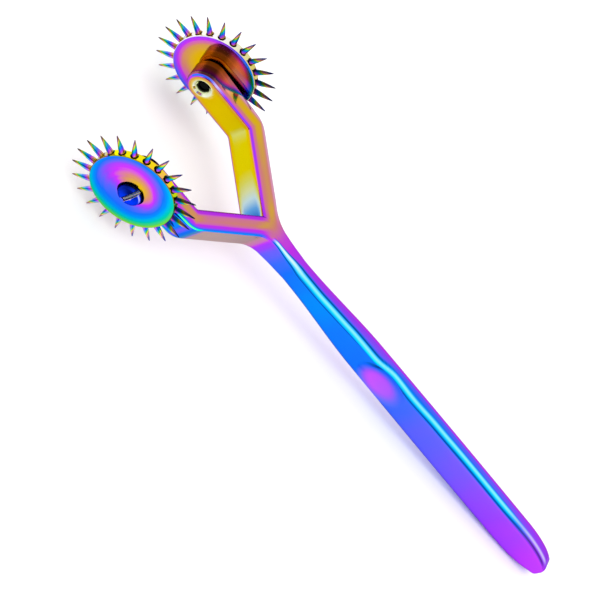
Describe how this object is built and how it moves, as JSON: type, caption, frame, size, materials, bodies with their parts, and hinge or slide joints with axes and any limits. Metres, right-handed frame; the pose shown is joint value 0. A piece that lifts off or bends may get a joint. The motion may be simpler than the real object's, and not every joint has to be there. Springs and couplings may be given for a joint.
{
  "type": "neurological pinwheel",
  "caption": "Hand instrument with a slim forked handle whose splayed arms each carry a free-turning wheel of sharp radial spikes, all in rainbow-coated polished metal.",
  "frame": {"origin": "centre of the flat at the handle's butt end", "axes": "+X along the handle, from the butt to the wheels; +Y towards the left wheel, along the wheels' common axis; +Z square to the plane of the fork"},
  "size_m": [0.1735, 0.0516, 0.032],
  "materials": {
    "frame_metal": "mirror polish, rainbow coated",
    "disc_metal": "mirror polish, rainbow coated",
    "spike_metal": "polished, rainbow coated",
    "screw_metal": "polished, dark blue coated"
  },
  "bodies": {
    "frame": {"fork_handle": "frame_metal", "left_pivot_screw": "screw_metal", "right_pivot_screw": "screw_metal"},
    "left_wheel": {"left_disc": "disc_metal", "left_spike_01": "spike_metal", "left_spike_02": "spike_metal", "left_spike_03": "spike_metal", "left_spike_04": "spike_metal", "left_spike_05": "spike_metal", "left_spike_06": "spike_metal", "left_spike_07": "spike_metal", "left_spike_08": "spike_metal", "left_spike_09": "spike_metal", "left_spike_10": "spike_metal", "left_spike_11": "spike_metal", "left_spike_12": "spike_metal", "left_spike_13": "spike_metal", "left_spike_14": "spike_metal", "left_spike_15": "spike_metal", "left_spike_16": "spike_metal", "left_spike_17": "spike_metal", "left_spike_18": "spike_metal", "left_spike_19": "spike_metal", "left_spike_20": "spike_metal", "left_spike_21": "spike_metal", "left_spike_22": "spike_metal"},
    "right_wheel": {"right_disc": "disc_metal", "right_spike_01": "spike_metal", "right_spike_02": "spike_metal", "right_spike_03": "spike_metal", "right_spike_04": "spike_metal", "right_spike_05": "spike_metal", "right_spike_06": "spike_metal", "right_spike_07": "spike_metal", "right_spike_08": "spike_metal", "right_spike_09": "spike_metal", "right_spike_10": "spike_metal", "right_spike_11": "spike_metal", "right_spike_12": "spike_metal", "right_spike_13": "spike_metal", "right_spike_14": "spike_metal", "right_spike_15": "spike_metal", "right_spike_16": "spike_metal", "right_spike_17": "spike_metal", "right_spike_18": "spike_metal", "right_spike_19": "spike_metal", "right_spike_20": "spike_metal", "right_spike_21": "spike_metal", "right_spike_22": "spike_metal"}
  },
  "joints": [
    {"name": "left_wheel_spin", "type": "hinge", "parent": "frame", "child": "left_wheel", "pos_m": [0.1575, 0.02285, 0], "axis": [0, 1, 0], "continuous": true},
    {"name": "right_wheel_spin", "type": "hinge", "parent": "frame", "child": "right_wheel", "pos_m": [0.1575, -0.02285, 0], "axis": [0, 1, 0], "continuous": true}
  ]
}
